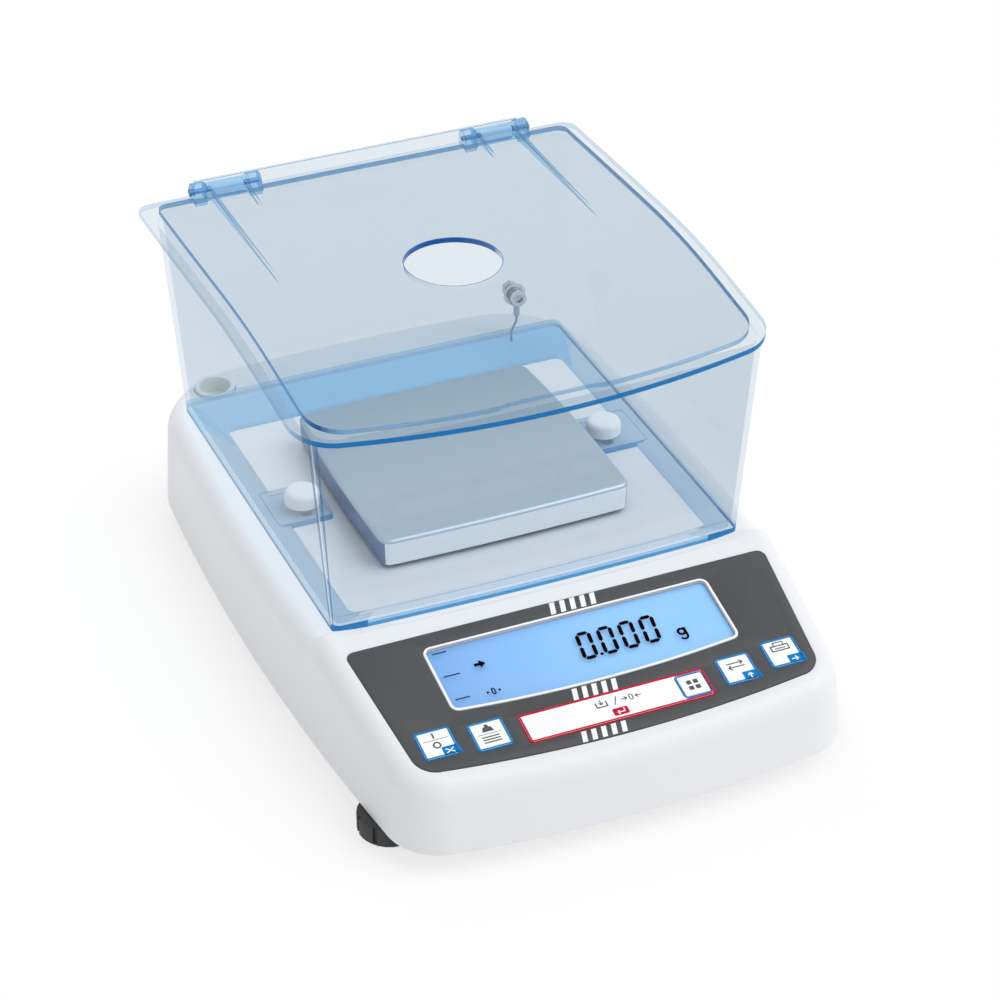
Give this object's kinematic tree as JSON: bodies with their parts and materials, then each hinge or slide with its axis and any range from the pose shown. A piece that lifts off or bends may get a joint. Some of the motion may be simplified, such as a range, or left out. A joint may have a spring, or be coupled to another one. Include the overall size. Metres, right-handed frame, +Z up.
{
  "type": "precision balance",
  "caption": "Laboratory precision balance with a sloping key panel and display, steel pan, levelling feet and a clear blue draft shield with a hinged lid that has a filling hole.",
  "frame": {"origin": "on the surface the balance stands on, under the middle of the housing", "axes": "+X to the right as seen from the keys, +Y to the rear (hinge side), +Z up; the keys and display face -Y"},
  "size_m": [0.2212, 0.3314, 0.1638],
  "materials": {
    "white_plastic": "fine texture",
    "panel_grey": "satin film",
    "screen_blue": "lit display glass",
    "key_white": "satin",
    "knob_white": "smooth",
    "window_clear": "clear",
    "shield_blue": "clear blue tint, polished",
    "pan_steel": "brushed",
    "steel": "turned",
    "chrome": "polished",
    "aluminium": "machined",
    "brass": "machined",
    "rubber": "matt",
    "foot_grey": "matt",
    "board_green": "lacquered board",
    "wire_grey": "insulated",
    "black_plastic": "matt",
    "vial_green": "clear, tinted liquid"
  },
  "bodies": {
    "housing": {"housing_top": "white_plastic", "housing_base": "white_plastic", "control_panel": "panel_grey", "display_window": "window_clear", "display_glass": "screen_blue", "display_backlight": "white_plastic", "key_board": "board_green", "draft_shield": "shield_blue", "hinge_pin_left": "steel", "hinge_pin_right": "steel", "cell_block": "aluminium", "cell_mount": "aluminium", "overload_stop": "brass", "main_board": "board_green", "power_socket": "black_plastic", "data_port": "steel", "insert_front_left": "brass", "insert_front_right": "brass", "insert_rear_left": "brass", "insert_rear_right": "brass", "base_screw_1": "steel", "base_screw_2": "steel", "base_screw_3": "steel", "base_screw_4": "steel", "ground_screw": "chrome", "ground_washer": "steel", "ground_lug": "wire_grey", "ground_nut": "steel", "ground_wire": "wire_grey", "level_case": "white_plastic", "level_vial": "vial_green", "level_bubble": "window_clear"},
    "lid": {"shield_lid": "shield_blue"},
    "on_off_key": {"key_on_off": "key_white"},
    "menu_key": {"key_menu": "key_white"},
    "tare_key": {"key_tare": "key_white"},
    "mode_key": {"key_mode": "key_white"},
    "unit_key": {"key_unit": "key_white"},
    "print_key": {"key_print": "key_white"},
    "left_knob": {"lock_knob_left": "knob_white"},
    "right_knob": {"lock_knob_right": "knob_white"},
    "front_left_foot": {"foot_front_left": "foot_grey"},
    "front_right_foot": {"foot_front_right": "foot_grey"},
    "rear_left_foot": {"foot_rear_left": "foot_grey"},
    "rear_right_foot": {"foot_rear_right": "foot_grey"},
    "receiver": {"load_receiver": "aluminium", "spindle": "steel", "pan_carrier": "aluminium", "buffer_front_left": "rubber", "buffer_front_right": "rubber", "buffer_rear_left": "rubber", "buffer_rear_right": "rubber"},
    "pan": {"weighing_pan": "pan_steel"}
  },
  "joints": [
    {"name": "lid_hinge", "type": "hinge", "parent": "housing", "child": "lid", "pos_m": [0, 0.1409, 0.15964], "axis": [-1, 0, 0], "range_deg": [0, 100]},
    {"name": "on_off_press", "type": "slide", "parent": "housing", "child": "on_off_key", "axis": [0, 0.2223, -0.975], "range_m": [0, 0.0008], "stiffness_N_per_m": 800},
    {"name": "menu_press", "type": "slide", "parent": "housing", "child": "menu_key", "axis": [0, 0.2223, -0.975], "range_m": [0, 0.0008], "stiffness_N_per_m": 800},
    {"name": "tare_press", "type": "slide", "parent": "housing", "child": "tare_key", "axis": [0, 0.2223, -0.975], "range_m": [0, 0.0008], "stiffness_N_per_m": 1200},
    {"name": "mode_press", "type": "slide", "parent": "housing", "child": "mode_key", "axis": [0, 0.2223, -0.975], "range_m": [0, 0.0008], "stiffness_N_per_m": 800},
    {"name": "unit_press", "type": "slide", "parent": "housing", "child": "unit_key", "axis": [0, 0.2223, -0.975], "range_m": [0, 0.0008], "stiffness_N_per_m": 800},
    {"name": "print_press", "type": "slide", "parent": "housing", "child": "print_key", "axis": [0, 0.2223, -0.975], "range_m": [0, 0.0008], "stiffness_N_per_m": 800},
    {"name": "left_knob_turn", "type": "hinge", "parent": "housing", "child": "left_knob", "pos_m": [-0.0724, 0.033, 0.0586], "axis": [0, 0, 1], "range_deg": [0, 90]},
    {"name": "right_knob_turn", "type": "hinge", "parent": "housing", "child": "right_knob", "pos_m": [0.0724, 0.033, 0.0586], "axis": [0, 0, 1], "range_deg": [0, 90]},
    {"name": "front_left_foot_turn", "type": "hinge", "parent": "housing", "child": "front_left_foot", "pos_m": [-0.0945, -0.1228, 0], "axis": [0, 0, 1], "range_deg": [-540, 540]},
    {"name": "front_right_foot_turn", "type": "hinge", "parent": "housing", "child": "front_right_foot", "pos_m": [0.0945, -0.1228, 0], "axis": [0, 0, 1], "range_deg": [-540, 540]},
    {"name": "rear_left_foot_turn", "type": "hinge", "parent": "housing", "child": "rear_left_foot", "pos_m": [-0.088, 0.118, 0], "axis": [0, 0, 1], "range_deg": [-540, 540]},
    {"name": "rear_right_foot_turn", "type": "hinge", "parent": "housing", "child": "rear_right_foot", "pos_m": [0.088, 0.118, 0], "axis": [0, 0, 1], "range_deg": [-540, 540]},
    {"name": "weigh_slide", "type": "slide", "parent": "housing", "child": "receiver", "axis": [0, 0, -1], "range_m": [0, 0.0004], "stiffness_N_per_m": 50000},
    {"name": "pan_lift", "type": "slide", "parent": "receiver", "child": "pan", "axis": [0, 0, 1], "range_m": [0, 0.06]}
  ]
}
